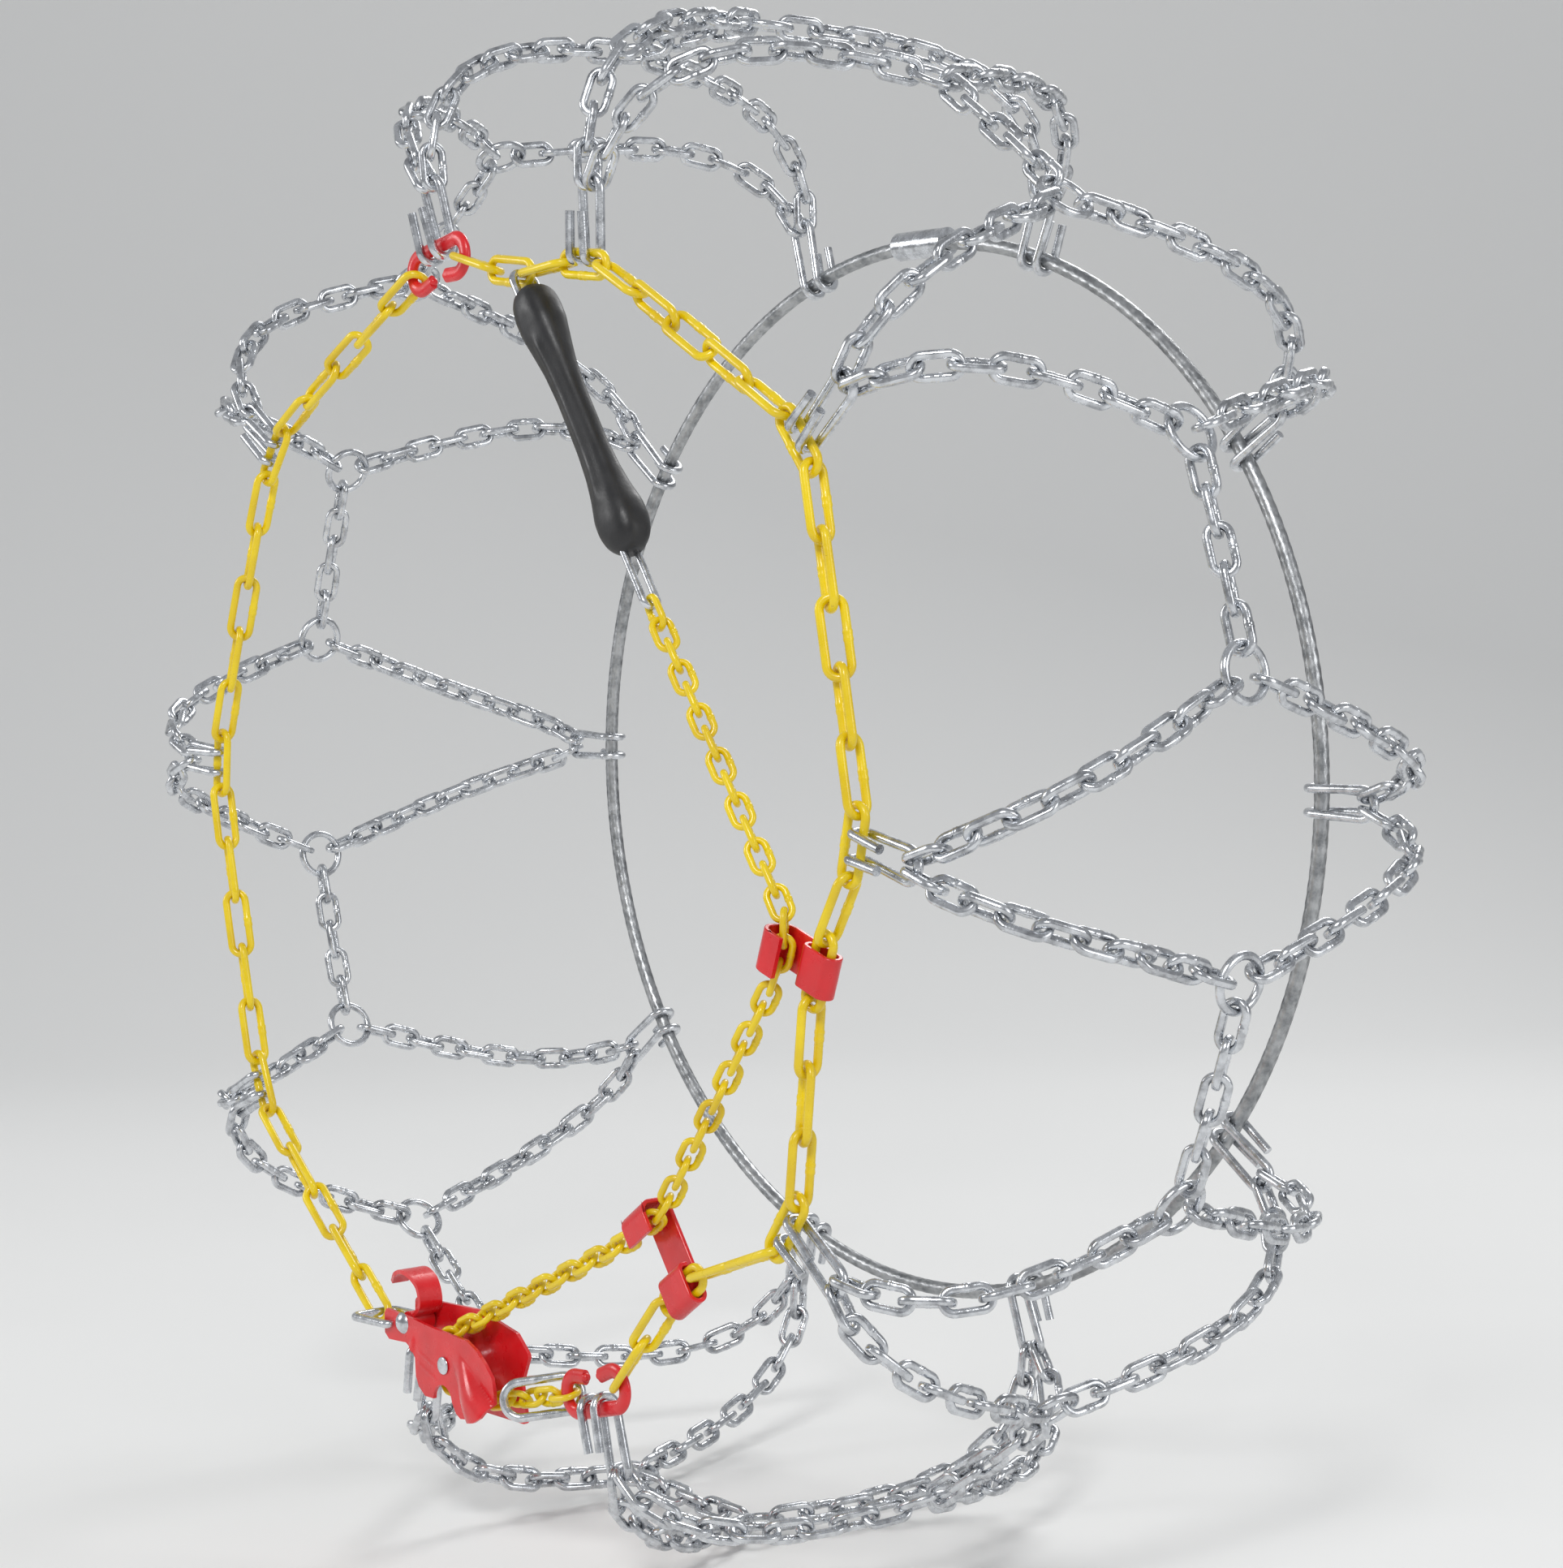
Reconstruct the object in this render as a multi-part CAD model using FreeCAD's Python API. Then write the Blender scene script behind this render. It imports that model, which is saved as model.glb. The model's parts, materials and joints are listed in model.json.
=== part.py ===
import FreeCAD, Part
import math
import os
from FreeCAD import Vector

# Snow chain fitted to a tyre.  Millimetres.  The wheel axis is Y with the outer
# face of the wheel towards -Y, Z is up and the origin is the wheel centre.

# ---- tyre shape the chain lies on ----
HALF_WIDTH = 143.0          # half width of the surface through the chain links
CROWN_RADIUS = 394.5        # radius of that surface at the middle of the tread
SHOULDER_RADIUS = 301.0     # where the flat side wall starts to turn over
SHOULDER_POWER = 3.3        # squareness of the shoulder
FOOT_RADIUS = 200.0         # inner end of the side wall used here

# ---- net layout ----
DIAMONDS = 10
FIRST_DIAMOND = 69.7        # degrees from +X towards +Z
RING_OFFSET = 9.95          # degrees from the middle of a diamond to each ring
RING_Y = -15.0              # the rings sit a little towards the outer face
OUTER_SHACKLES = (          # angle and radius of the ten outer fastenings
    (71.0, 279.0), (33.0, 300.0), (-4.0, 285.0), (-41.0, 306.0), (-76.0, 314.0),
    (-105.0, 316.0), (-144.0, 310.0), (178.0, 295.0), (138.5, 294.0), (99.0, 283.0))

# ---- link sizes: wire diameter, inner length, outer width ----
CROSS_LINK = (4.0, 18.7, 14.6)
SIDE_LINK = (4.2, 32.0, 15.4)
PULL_LINK = (3.4, 13.0, 12.4)
LINK_GAP = 0.6              # play between two hooked links
TREAD_LINKS = 5
RING_WIRE = 4.2
RING_RADIUS = 12.9          # to the middle of the wire

# ---- shackles ----
SHACKLE_WIRE = 4.6
SHACKLE_REACH = 29.1        # from the hooked bar to the middle of the U
SHACKLE_U = 7.5
SHACKLE_STUB = 20.0
LEG_SPREAD = 2.45           # from the middle of the U to each leg's first end wire
LEG_RISE = 1.6
FIRST_REACH = 12.0          # straight run of the first link out of the U

# ---- inner cable ----
CABLE_Y = 146.0
CABLE_RADIUS = 296.0
CABLE_WIRE = 8.0

# ---- red parts ----
CLAW_WIDTH = 7.6
CLAW_THICK = 4.8
CLAW_BEND = 9.0
CLAW_HALF = 16.0
STRIP = 2.2
GUIDE_WIDTH = 20.0
PLATE = 2.0

# ---- outer face layout: height of each part above the wheel centre plane ----
SIDE_Y = -143.0
PULL_Y = -147.0

FRONT = Vector(0, -1, 0)
BACK = Vector(0, 1, 0)


def unit(v):
    return v.multiply(1.0 / v.Length) if v.Length else v


def mix(a, b, t):
    return a + (b - a) * t


def spot(x, z, y=SIDE_Y):
    return Vector(x, y, z)


def polar(angle, radius, y):
    turn = math.radians(angle)
    return Vector(radius * math.cos(turn), y, radius * math.sin(turn))


def angle_of(p):
    return math.degrees(math.atan2(p.z, p.x))


def radius_of(p):
    return math.hypot(p.x, p.z)


def outward(p):
    return unit(Vector(p.x, 0, p.z))


# ---------------------------------------------------------------- tyre surface

def tyre_profile():
    """Half section of the tyre as (length along it, y, radius), outer foot to inner foot."""
    rows = []
    steps = 360
    for i in range(steps + 1):
        a = math.pi * i / steps
        c = abs(math.cos(a))
        s = abs(math.sin(a))
        reach = (c ** SHOULDER_POWER + s ** SHOULDER_POWER) ** (-1.0 / SHOULDER_POWER)
        y = -HALF_WIDTH * reach * math.cos(a)
        r = SHOULDER_RADIUS + (CROWN_RADIUS - SHOULDER_RADIUS) * reach * s
        rows.append((y, r))
    rows.insert(0, (-HALF_WIDTH, FOOT_RADIUS))
    rows.append((HALF_WIDTH, FOOT_RADIUS))
    out = []
    run = 0.0
    for i, (y, r) in enumerate(rows):
        if i:
            run += math.hypot(y - rows[i - 1][0], r - rows[i - 1][1])
        out.append((run, y, r))
    return out


PROFILE = tyre_profile()
PROFILE_LENGTH = PROFILE[-1][0]


def look_up(value, key, rows):
    """Rows are in rising order of the key column; returns the length, y and radius there."""
    low = 0
    high = len(rows) - 1
    while high - low > 1:
        middle = (low + high) // 2
        if rows[middle][key] > value:
            high = middle
        else:
            low = middle
    a = rows[low]
    b = rows[high]
    t = (value - a[key]) / (b[key] - a[key])
    return [a[k] + (b[k] - a[k]) * t for k in range(3)]


def length_at_radius(radius, outer=True):
    half = PROFILE[:len(PROFILE) // 2]
    run = look_up(radius, 2, half)[0]
    return run if outer else PROFILE_LENGTH - run


def length_at_y(y):
    return look_up(y, 1, PROFILE[1:-1])[0]


def on_tyre(angle, run):
    row = look_up(run, 0, PROFILE)
    return polar(angle, row[2], row[1])


def tyre_normal(angle, run):
    a = look_up(run - 0.5, 0, PROFILE)
    b = look_up(run + 0.5, 0, PROFILE)
    dy = b[1] - a[1]
    dr = b[2] - a[2]
    size = math.hypot(dy, dr)
    return polar(angle, dy / size, -dr / size)


# ---------------------------------------------------------------- swept shapes

def rounded_path(points, bends, closed=False):
    """Straight runs joined by tangent arcs; one bend radius for each inner corner."""
    count = len(points)
    corners = range(count) if closed else range(1, count - 1)
    cuts = {}
    edges = []
    for n, i in enumerate(corners):
        here = points[i]
        back = unit(points[i - 1] - here)
        ahead = unit(points[(i + 1) % count] - here)
        bend = bends[n] if isinstance(bends, (list, tuple)) else bends
        half = back.getAngle(ahead) / 2.0
        trim = bend / math.tan(half)
        first = here + back * trim
        last = here + ahead * trim
        centre = here + unit(back + ahead) * (bend / math.sin(half))
        middle = centre + unit(here - centre) * bend
        cuts[i] = (first, middle, last)
    start = points[0] if not closed else cuts[0][2]
    order = list(corners)[1:] + [0] if closed else list(corners)
    for i in order:
        first, middle, last = cuts[i]
        if (first - start).Length > 1e-4:
            edges.append(Part.makeLine(start, first))
        edges.append(Part.Arc(first, middle, last).toShape())
        start = last
    if not closed and (points[-1] - start).Length > 1e-4:
        edges.append(Part.makeLine(start, points[-1]))
    return Part.Wire(edges)


def swept(path, section):
    solid = path.makePipeShell([section], True, False)
    return solid if solid.ShapeType == "Solid" else Part.Solid(solid)


def start_of(path):
    edge = path.OrderedEdges[0]
    point = path.OrderedVertexes[0].Point
    way = edge.tangentAt(edge.FirstParameter)
    other = edge.valueAt(edge.FirstParameter)
    if (other - point).Length > 1e-3:
        way = edge.tangentAt(edge.LastParameter) * -1.0
    return point, way


def wire_along(points, bends, diameter, closed=False):
    path = rounded_path(points, bends, closed)
    point, way = start_of(path)
    section = Part.Wire(Part.makeCircle(diameter / 2.0, point, way))
    return swept(path, section)


def strip_along(points, bends, thick, wide, across):
    """A flat strip bent along a path; across is the direction of its width."""
    path = rounded_path(points, bends)
    point, way = start_of(path)
    deep = unit(way.cross(across))
    a = across * (wide / 2.0)
    b = deep * (thick / 2.0)
    section = Part.makePolygon([point + a + b, point - a + b, point - a - b, point + a - b, point + a + b])
    return swept(path, section)


def place(shape, centre, along, side):
    """Puts a shape made on the origin at centre with its X along and its Y to the side."""
    x = unit(Vector(along))
    z = unit(x.cross(side))
    y = z.cross(x)
    turn = FreeCAD.Matrix(
        x.x, y.x, z.x, centre.x,
        x.y, y.y, z.y, centre.y,
        x.z, y.z, z.z, centre.z,
        0, 0, 0, 1)
    copy = shape.copy()
    copy.Placement = FreeCAD.Placement(turn)
    return copy


def link_shape(size):
    wire, inner, width = size
    r = (width - wire) / 2.0
    straight = inner + 2.0 * wire - width
    a = straight / 2.0
    path = Part.Wire([
        Part.makeLine(Vector(-a, -r, 0), Vector(a, -r, 0)),
        Part.Arc(Vector(a, -r, 0), Vector(a + r, 0, 0), Vector(a, r, 0)).toShape(),
        Part.makeLine(Vector(a, r, 0), Vector(-a, r, 0)),
        Part.Arc(Vector(-a, r, 0), Vector(-a - r, 0, 0), Vector(-a, -r, 0)).toShape()])
    section = Part.Wire(Part.makeCircle(wire / 2.0, Vector(-a, -r, 0), Vector(1, 0, 0)))
    return swept(path, section)


CROSS_SHAPE = link_shape(CROSS_LINK)
SIDE_SHAPE = link_shape(SIDE_LINK)
PULL_SHAPE = link_shape(PULL_LINK)


# ---------------------------------------------------------------- chains

def roll_at(k, count, start_bias, end_bias, reach=2.0):
    """Links lean 45 degrees to either side in turn, and turn to suit what holds each end."""
    base = 45.0 if k % 2 == 0 else -45.0
    near_start = max(0.0, 1.0 - k / reach)
    near_end = max(0.0, 1.0 - (count - 1 - k) / reach)
    return base + start_bias * near_start + end_bias * near_end


def hang_links(joints, normals, rolls, shape):
    """One link between each pair of neighbouring joints."""
    links = []
    for k in range(len(joints) - 1):
        along = unit(joints[k + 1] - joints[k])
        normal = normals[k]
        across = unit(normal.cross(along))
        up = along.cross(across)
        turn = math.radians(rolls[k])
        side = across * math.cos(turn) + up * math.sin(turn)
        links.append(place(shape, mix(joints[k], joints[k + 1], 0.5), along, side))
    return links


def along_curve(points, run):
    """Point at a run along a polyline, carried on straight past its ends."""
    left = run
    for i in range(len(points) - 1):
        step = points[i + 1] - points[i]
        if left <= step.Length or i == len(points) - 2:
            return points[i] + unit(step) * left
        if left < 0:
            return points[i] + unit(step) * left
        left -= step.Length
    return points[-1]


def curve_length(points):
    return sum((points[i + 1] - points[i]).Length for i in range(len(points) - 1))


def behind_wire(wire):
    """How far the first joint of a chain lies behind the middle of the wire it is hooked on."""
    return (wire + LINK_GAP) / 2.0


def links_on_curve(points, size, shape, start_back, end_back, biases, normal_at, spare=0):
    """Links strung tight along a curve, between joints a little way past its two ends."""
    pitch = size[1] - LINK_GAP
    first = -start_back
    last = curve_length(points) + end_back
    count = int(math.ceil((last - first) / pitch - 0.02)) + spare
    step = (last - first) / count
    joints = [along_curve(points, first + step * k) for k in range(count + 1)]
    normals = [normal_at(mix(joints[k], joints[k + 1], 0.5)) for k in range(count)]
    end_bias = biases[1] if count % 2 else -biases[1]
    rolls = [roll_at(k, count, biases[0], end_bias) for k in range(count)]
    return hang_links(joints, normals, rolls, shape)


def pull_taut(joints, held, targets, length, slack=1.2, rounds=1200):
    """Draws a loose line of joints straight between the links that carry something."""
    points = [Vector(p) for p in joints]
    for turn in range(rounds):
        ease = max(0.0, 1.0 - turn / (0.8 * rounds))
        for i, goal in targets.items():
            shift = (goal - mix(points[i], points[i + 1], 0.5)) * 0.08 * ease
            points[i] += shift
            points[i + 1] += shift
        for i in range(1, len(points) - 1):
            points[i] += (mix(points[i - 1], points[i + 1], 0.5) - points[i]) * 0.03 * ease
        for i in range(len(points) - 1):
            gap = points[i + 1] - points[i]
            wanted = min(length, max(length - slack, gap.Length))
            move = unit(Vector(gap)) * ((gap.Length - wanted) / 2.0)
            if i not in held:
                points[i] += move
            if i + 1 not in held:
                points[i + 1] -= move
    return points


# ---------------------------------------------------------------- fastenings

class Shackle:
    """Double claw shackle: one bent wire hooked over a bar, its U facing outwards."""

    def __init__(self, bar, bar_size, face, across):
        self.face = face
        wire = SHACKLE_WIRE
        self.bend = bar_size / 2.0 + wire / 2.0 + 0.4
        outer = face.y < 0
        base = bar - face * self.bend
        run = length_at_radius(radius_of(base), outer)
        ahead = SHACKLE_REACH + 10.0
        run += ahead if outer else -ahead
        goal = on_tyre(angle_of(base), run)
        out = goal - base
        out = out - across * out.dot(across)
        self.out = unit(out)
        self.across = across
        self.up = unit(across.cross(self.out))
        if self.up.dot(face) < 0:
            self.up = self.up * -1.0
        self.bar = bar
        self.middle = self.spot(0.0, SHACKLE_REACH, -self.bend)

    def spot(self, s, u, n):
        return self.bar + self.across * s + self.out * u + self.up * n

    def shape(self):
        h = self.bend
        far = SHACKLE_REACH + SHACKLE_U
        half = [
            self.spot(4.9, SHACKLE_STUB, h),
            self.spot(6.0, -h, h),
            self.spot(6.0, -h, -h),
            self.spot(SHACKLE_U, far, -h)]
        other = [
            self.spot(-SHACKLE_U, far, -h),
            self.spot(-6.0, -h, -h),
            self.spot(-6.0, -h, h),
            self.spot(-4.9, SHACKLE_STUB, h)]
        tight = h - 0.15
        u_bend = SHACKLE_U - 0.25
        return wire_along(half + other, [tight, tight, u_bend, u_bend, tight, tight], SHACKLE_WIRE)

    def leg_start(self, sign):
        """Middle of the first link's end wire, one leg beside the other inside the U."""
        return self.middle + self.across * (sign * LEG_SPREAD) + self.out * LEG_RISE


def leg_curve(holder, sign, ring_angle, outer=True):
    """Curve from inside a shackle's U over the shoulder to a tread ring's wire."""
    start = holder.leg_start(sign)
    a0 = angle_of(start)
    a1 = ring_angle
    while a0 - a1 > 180.0:
        a0 -= 360.0
    while a1 - a0 > 180.0:
        a0 += 360.0
    s0 = length_at_radius(radius_of(start), outer)
    s1 = length_at_y(RING_Y)
    ahead = on_tyre(mix(a0, a1, 0.3), mix(s0, s1, 0.3)) - start
    swing = math.atan2(ahead.dot(holder.across), ahead.dot(holder.out))
    swing = max(-0.45, min(0.45, swing))
    knee = start + (holder.out * math.cos(swing) + holder.across * math.sin(swing)) * FIRST_REACH
    t0 = FIRST_REACH / abs(s1 - s0)
    offset = knee - on_tyre(mix(a0, a1, t0), mix(s0, s1, t0))
    points = [start]
    steps = 120
    for i in range(steps + 1):
        t = i / steps
        run = mix(t0, 1.0, t)
        points.append(on_tyre(mix(a0, a1, run), mix(s0, s1, run)) + offset * (1.0 - t) ** 2)
    total = curve_length(points) - RING_RADIUS
    run = 0.0
    kept = [points[0]]
    for i in range(1, len(points)):
        run += (points[i] - points[i - 1]).Length
        if run >= total:
            break
        kept.append(points[i])
    kept.append(along_curve(points, total))
    return kept


def nearest_normal(p):
    """Direction straight out of the tyre at a point near its surface."""
    if abs(p.y) > 0.75 * HALF_WIDTH:
        run = length_at_radius(min(radius_of(p), CROWN_RADIUS - 1.0), p.y < 0)
        low = run - 30.0
        high = run + 30.0
    else:
        run = length_at_y(p.y)
        low = run - 30.0
        high = run + 30.0
    a = angle_of(p)
    best = min((on_tyre(a, low + (high - low) * i / 60.0).distanceToPoint(p), i) for i in range(61))
    return tyre_normal(a, low + (high - low) * best[1] / 60.0)


def diamond_angle(i):
    return FIRST_DIAMOND - i * 360.0 / DIAMONDS


def ring_centre(angle):
    return on_tyre(angle, length_at_y(RING_Y))


def tread_chain(i):
    a = ring_centre(diamond_angle(i) - RING_OFFSET)
    b = ring_centre(diamond_angle(i + 1) + RING_OFFSET)
    way_a = unit((b - a) - outward(a) * outward(a).dot(b - a))
    way_b = unit((a - b) - outward(b) * outward(b).dot(a - b))
    points = []
    first = a + way_a * RING_RADIUS
    last = b + way_b * RING_RADIUS
    steps = 40
    for k in range(steps + 1):
        p = mix(first, last, k / steps)
        bulge = (CROWN_RADIUS - radius_of(p)) * min(1.0, 4.0 * k / steps, 4.0 * (steps - k) / steps)
        points.append(p + unit(Vector(p.x, 0, p.z)) * bulge * 0.3)
    return links_on_curve(points, CROSS_LINK, CROSS_SHAPE, behind_wire(RING_WIRE), behind_wire(RING_WIRE),
                          (30.0, 30.0), nearest_normal)


# ---------------------------------------------------------------- red hooks

class ClawHook:
    """Forged hook: a middle bar with a claw curling inwards at each end."""

    def __init__(self, angle, radius, y=SIDE_Y):
        self.centre = polar(angle, radius, y)
        self.inward = unit(Vector(-self.centre.x, 0, -self.centre.z))
        self.along = unit(self.inward.cross(FRONT))
        if self.along.x < 0:
            self.along = self.along * -1.0

    def spot(self, a, b):
        return self.centre + self.along * a + self.inward * b

    def bar(self, sign, pulled_to):
        """Point on a claw's curve that faces the way its chain pulls."""
        middle = self.spot(sign * CLAW_HALF, CLAW_BEND)
        pull = pulled_to - middle
        pull.y = 0.0
        return middle + unit(pull) * (CLAW_BEND - 0.1)

    def shape(self):
        r = CLAW_BEND
        far = CLAW_HALF + r
        points = [
            self.spot(-6.5, 2 * r - 1.5),
            self.spot(-CLAW_HALF + 1.0, 2 * r),
            self.spot(-far, 2 * r),
            self.spot(-far, 0),
            self.spot(far, 0),
            self.spot(far, 2 * r),
            self.spot(CLAW_HALF - 1.0, 2 * r),
            self.spot(6.5, 2 * r - 1.5)]
        bends = [8.0, r - 0.2, r - 0.2, r - 0.2, r - 0.2, 8.0]
        path = rounded_path(points, bends)
        point, way = start_of(path)
        edge = Part.Ellipse(Vector(0, 0, 0), CLAW_WIDTH / 2.0, CLAW_THICK / 2.0).toShape()
        section = place(Part.Wire(edge), point, unit(way.cross(FRONT)), FRONT)
        body = swept(path, section)
        for end in (points[0], points[-1]):
            tip = Part.makeSphere(CLAW_THICK / 2.0, end)
            body = body.fuse(tip)
        return body


# ---------------------------------------------------------------- build

parts = {}


def keep(name, shapes):
    solids = []
    for shape in shapes:
        solids.extend(shape.Solids)
    parts[name] = Part.makeCompound(solids)


top_hook = ClawHook(99.0, 283.0)
low_hook = ClawHook(-76.0, 314.0)
keep("connecting_hook_top", [top_hook.shape()])
keep("connecting_hook_low", [low_hook.shape()])

# -- side chain: stations are the middles of the links that carry something --
LINK = SIDE_LINK[1] - LINK_GAP
CLAW_BACK = CLAW_WIDTH / 2.0 + LINK_GAP / 2.0
BAR_OUT = (SIDE_LINK[2] - SIDE_LINK[0]) / 2.0
GUIDE_1 = spot(250.0, -77.0)
GUIDE_2 = spot(146.0, -234.0)
STRAP_LINK = spot(27.0, 255.5)
EYE_TIP = spot(-121.0, -285.0, -145.0)
EYE_WIRE = 4.4


def station(i):
    angle, radius = OUTER_SHACKLES[i]
    return polar(angle, radius - BAR_OUT, SIDE_Y)


def run_of_joints(start, stops, end):
    """Joints from start to end through link middles; stops are (middle, links up to it)."""
    joints = [start]
    targets = {}
    here = start
    for middle, count in stops:
        way = unit(middle - here)
        half = middle - way * (LINK / 2.0)
        for k in range(1, count):
            joints.append(mix(here, half, k / (count - 1.0)))
        targets[len(joints) - 1] = middle
        here = middle + way * (LINK / 2.0)
        joints.append(here)
    goal, count = end
    for k in range(1, count + 1):
        joints.append(mix(here, goal, k / count))
    held = {0, len(joints) - 1}
    return pull_taut(joints, held, targets, LINK), sorted(targets)


def chain_end(bar, towards, back):
    return bar - unit(towards - bar) * back


right_start = chain_end(top_hook.bar(1, STRAP_LINK), STRAP_LINK, CLAW_BACK)
right_end = chain_end(low_hook.bar(1, GUIDE_2), GUIDE_2, CLAW_BACK)
right_stops = [(STRAP_LINK, 2), (station(0), 2), (station(1), 6), (station(2), 6), (GUIDE_1, 2), (station(3), 4), (GUIDE_2, 3)]
right_joints, right_marks = run_of_joints(right_start, right_stops, (right_end, 2))

left_start = chain_end(top_hook.bar(-1, station(8)), station(8), CLAW_BACK)
left_end = chain_end(EYE_TIP, station(6), EYE_WIRE / 2.0 + LINK_GAP / 2.0)
left_stops = [(station(8), 6), (station(7), 6), (station(6), 6)]
left_joints, left_marks = run_of_joints(left_start, left_stops, (left_end, 5))


def side_rolls(count, marks, end_flat):
    """Carrying links lie flat on the side wall, the others lean to either side in turn."""
    rolls = []
    flats = list(marks)
    for k in range(count):
        near = min(flats, key=lambda m: abs(m - k))
        lean = 45.0 if (k - near) % 2 == 0 else -45.0
        bias = -45.0 * min(1.0, max(0.0, 1.0 - (abs(k - near) - 1) / 2.0))
        rolls.append(lean + bias)
    for k, value in end_flat.items():
        rolls[k] = value
    return rolls


last_right = len(right_joints) - 2
last_left = len(left_joints) - 2
right_rolls = side_rolls(last_right + 1, right_marks, {
    0: 80.0, 1: 0.0, 2: -85.0, last_right - 1: -60.0, last_right: 60.0})
left_rolls = side_rolls(last_left + 1, left_marks, {0: -70.0, last_left: -20.0})
FACE = [FRONT] * 60
right_links = hang_links(right_joints, FACE, right_rolls, SIDE_SHAPE)
left_links = hang_links(left_joints, FACE, left_rolls, SIDE_SHAPE)
keep("side_chain_right", right_links)
keep("side_chain_left", left_links)

# -- outer shackles, cross chain legs, tread rings --
carry = {}
order_right = ["strap", 0, 1, 2, "guide_1", 3, "guide_2"]
for name, k in zip(order_right, right_marks):
    carry[name] = (right_joints[k], right_joints[k + 1])
for name, k in zip([8, 7, 6], left_marks):
    carry[name] = (left_joints[k], left_joints[k + 1])


def outer_shackle(i):
    if i in carry:
        a, b = carry[i]
        across = unit(b - a)
        middle = mix(a, b, 0.5)
        out = across.cross(FRONT)
        if out.dot(outward(middle)) < 0:
            out = out * -1.0
        return Shackle(middle + out * BAR_OUT, SIDE_LINK[0], FRONT, across)
    if i == 9:
        return Shackle(top_hook.centre, CLAW_WIDTH, FRONT, top_hook.along)
    if i == 4:
        return Shackle(low_hook.centre, CLAW_WIDTH, FRONT, low_hook.along)
    bar = polar(OUTER_SHACKLES[i][0], OUTER_SHACKLES[i][1], SIDE_Y)
    across = unit(outward(bar).cross(FRONT))
    return Shackle(bar, 6.0, FRONT, across)


outer_shapes = []
inner_shapes = []
for i in range(DIAMONDS):
    shackle = outer_shackle(i)
    outer_shapes.append(shackle.shape())
    bar = polar(diamond_angle(i), CABLE_RADIUS, CABLE_Y)
    across = unit(outward(bar).cross(BACK))
    inner = Shackle(bar, CABLE_WIRE, BACK, across)
    inner_shapes.append(inner.shape())
    for holder, outer, label in ((shackle, True, "outer"), (inner, False, "inner")):
        legs = []
        for side in (1, -1):
            goal = diamond_angle(i) + side * RING_OFFSET
            here = ring_centre(goal)
            sign = 1 if (here - holder.middle).dot(holder.across) > 0 else -1
            curve = leg_curve(holder, sign, goal, outer)
            legs += links_on_curve(curve, CROSS_LINK, CROSS_SHAPE, -behind_wire(CROSS_LINK[0]),
                                   behind_wire(RING_WIRE), (30.0, 30.0), nearest_normal)
        keep("%s_legs_%02d" % (label, i + 1), legs)
keep("outer_shackles", outer_shapes)
keep("inner_shackles", inner_shapes)

rings = []
for i in range(DIAMONDS):
    keep("tread_chain_%02d" % (i + 1), tread_chain(i))
    for side in (1, -1):
        centre = ring_centre(diamond_angle(i) + side * RING_OFFSET)
        rings.append(Part.makeTorus(RING_RADIUS, RING_WIRE / 2.0, centre, outward(centre)))
keep("tread_rings", rings)

# -- inner cable and its closing sleeve --
closing = diamond_angle(0) + 180.0 / DIAMONDS
start = polar(closing + 0.4, CABLE_RADIUS, CABLE_Y)
middle = polar(closing + 180.0, CABLE_RADIUS, CABLE_Y)
finish = polar(closing - 0.4, CABLE_RADIUS, CABLE_Y)
cable_path = Part.Wire([Part.Arc(start, middle, finish).toShape()])
point, way = start_of(cable_path)
cable = swept(cable_path, Part.Wire(Part.makeCircle(CABLE_WIRE / 2.0, point, way)))
keep("inner_cable", [cable])
sleeve_middle = polar(closing, CABLE_RADIUS, CABLE_Y)
sleeve_way = unit(outward(sleeve_middle).cross(BACK))
sleeve = Part.makeCylinder(8.0, 40.0, sleeve_middle - sleeve_way * 20.0, sleeve_way)
sleeve = sleeve.cut(Part.makeTorus(CABLE_RADIUS, CABLE_WIRE / 2.0 + 0.2, Vector(0, CABLE_Y, 0), BACK))
keep("cable_sleeve", [sleeve])

# -- chain guides: a strip rolled round one link, run inwards and folded over the pulling chain --
GUIDE_RISE = 4.3
GUIDE_SLOT = 16.2


def guide_shape(middle, along, inward, reach):
    def at(a, b):
        return middle + inward * a + FRONT * b
    low = -GUIDE_RISE
    points = [
        at(9.6, -1.0),
        at(9.6, GUIDE_RISE),
        at(-9.6, GUIDE_RISE),
        at(-9.6, low),
        at(reach, low),
        at(reach, low + GUIDE_SLOT),
        at(reach - 15.0, low + GUIDE_SLOT)]
    return strip_along(points, [3.2, 4.2, 4.2, 6.0, 6.0], STRIP, GUIDE_WIDTH, along)


def guide_frame(name):
    a, b = carry[name]
    along = unit(b - a)
    middle = mix(a, b, 0.5)
    inward = unit(along.cross(FRONT))
    if inward.dot(outward(middle)) > 0:
        inward = inward * -1.0
    return middle, along, inward


guide_reach = {"guide_1": 31.0, "guide_2": 44.0}
channels = []
for name in ("guide_1", "guide_2"):
    middle, along, inward = guide_frame(name)
    reach = guide_reach[name]
    keep("chain_" + name, [guide_shape(middle, along, inward, reach)])
    seat = middle + inward * (reach - 8.0) + FRONT * 3.8
    channels += [seat - along * 14.0, seat + along * 14.0]

# -- rubber strap with a wire staple at each end --
STAPLE_WIRE = 4.4
EYE_WIRE_LOW = 3.8
STRAP_START = 15.0
STRAP_LENGTH = 156.0
STAPLE_SINK = 14.0

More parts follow.
